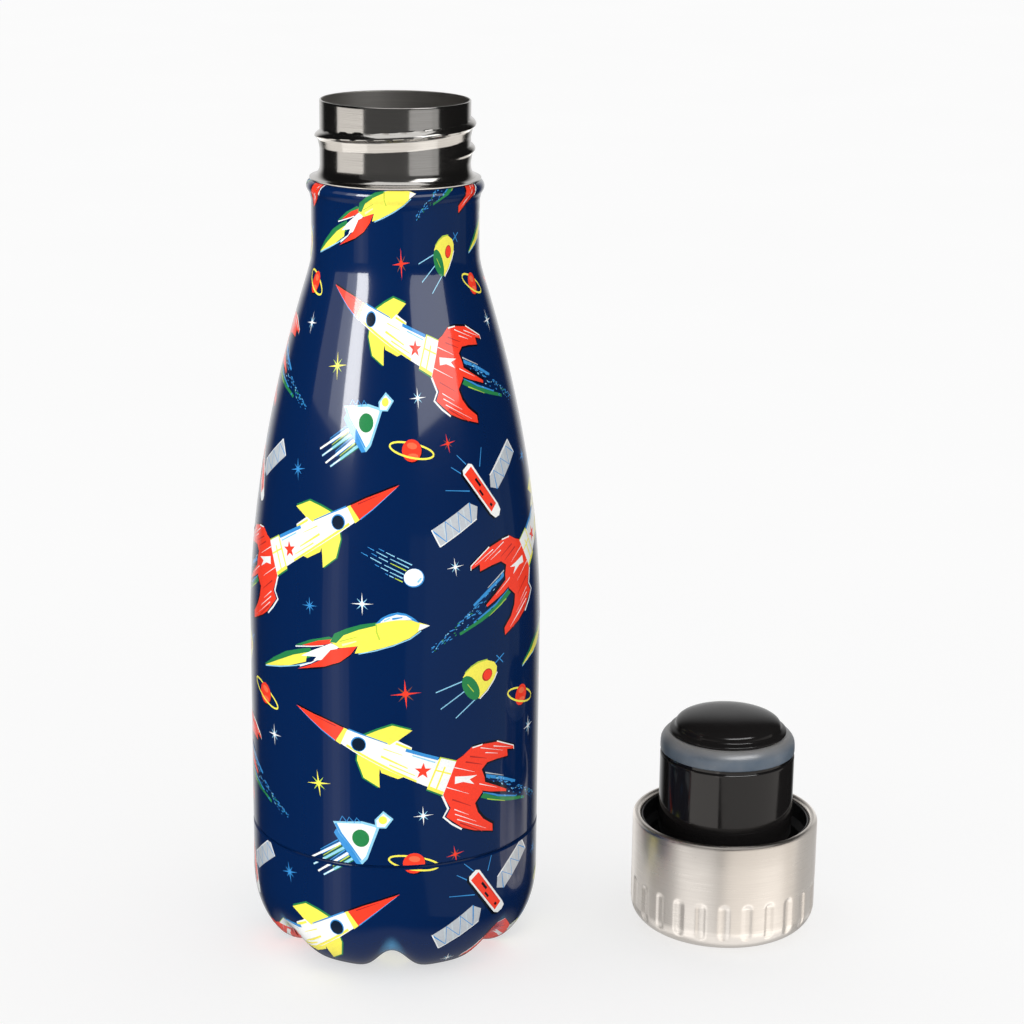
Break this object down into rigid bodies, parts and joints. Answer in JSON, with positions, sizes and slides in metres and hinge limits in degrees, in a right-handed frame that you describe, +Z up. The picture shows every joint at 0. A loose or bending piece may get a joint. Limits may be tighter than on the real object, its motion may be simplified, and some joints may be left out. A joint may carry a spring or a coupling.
{
  "type": "insulated water bottle",
  "caption": "Small double-wall steel water bottle with a lobed base, an enamel print of toy rockets and stars, and a brushed steel screw cap with a stopper plug, taken off and set beside it.",
  "frame": {"origin": "middle of the bottle and its cap together, on the surface they stand on", "axes": "+Z up along the bottle, +X from the bottle towards the cap, +Y away from the viewer"},
  "size_m": [0.1302, 0.065, 0.1907],
  "materials": {
    "printed_enamel": "glossy navy enamel with a printed pattern",
    "base_enamel": "glossy navy enamel with a printed pattern",
    "neck_steel": "bright turned steel",
    "flask_steel": "satin steel",
    "copper_foil": "copper-coloured foil",
    "getter_alloy": "dull grey pressed pill",
    "clip_steel": "plain sheet steel",
    "plate_steel": "plain sheet steel",
    "solder_glass": "opaque grey glass bead",
    "cap_steel": "fine brushed steel",
    "liner_plastic": "satin black moulding",
    "plug_plastic": "glossy black moulding",
    "seal_silicone": "cloudy blue-grey silicone",
    "insulating_foam": "fine white foam"
  },
  "bodies": {
    "bottle": {"outer_shell": "printed_enamel", "base_cup": "base_enamel", "threaded_neck": "neck_steel", "inner_flask": "flask_steel", "inner_flask_base": "flask_steel", "reflective_foil": "copper_foil", "getter": "getter_alloy", "getter_clip": "clip_steel", "vacuum_plate": "plate_steel", "vacuum_seal": "solder_glass"},
    "hand_held": {"foam_disc": "insulating_foam"},
    "lowered": {"seal_ring": "seal_silicone"},
    "cap": {"cap_shell": "cap_steel", "cap_liner": "liner_plastic", "plug_body": "plug_plastic", "plug_dome": "plug_plastic"}
  },
  "joints": [
    {"name": "cap_carry", "type": "hinge", "parent": "bottle", "child": "hand_held", "pos_m": [0.00558, 0, 0.12265], "axis": [0, -1, 0], "range_deg": [0, 180]},
    {"name": "cap_lower", "type": "slide", "parent": "hand_held", "child": "lowered", "axis": [0, 0, 1], "range_m": [0, 0.044]},
    {"name": "cap_screw", "type": "hinge", "parent": "lowered", "child": "cap", "pos_m": [0.04378, 0, 0], "axis": [0, 0, 1], "range_deg": [0, 2880]}
  ],
  "couplings": [
    {"joint": "cap_screw", "follows": "cap_lower", "rad_per_m": 1142.4}
  ]
}
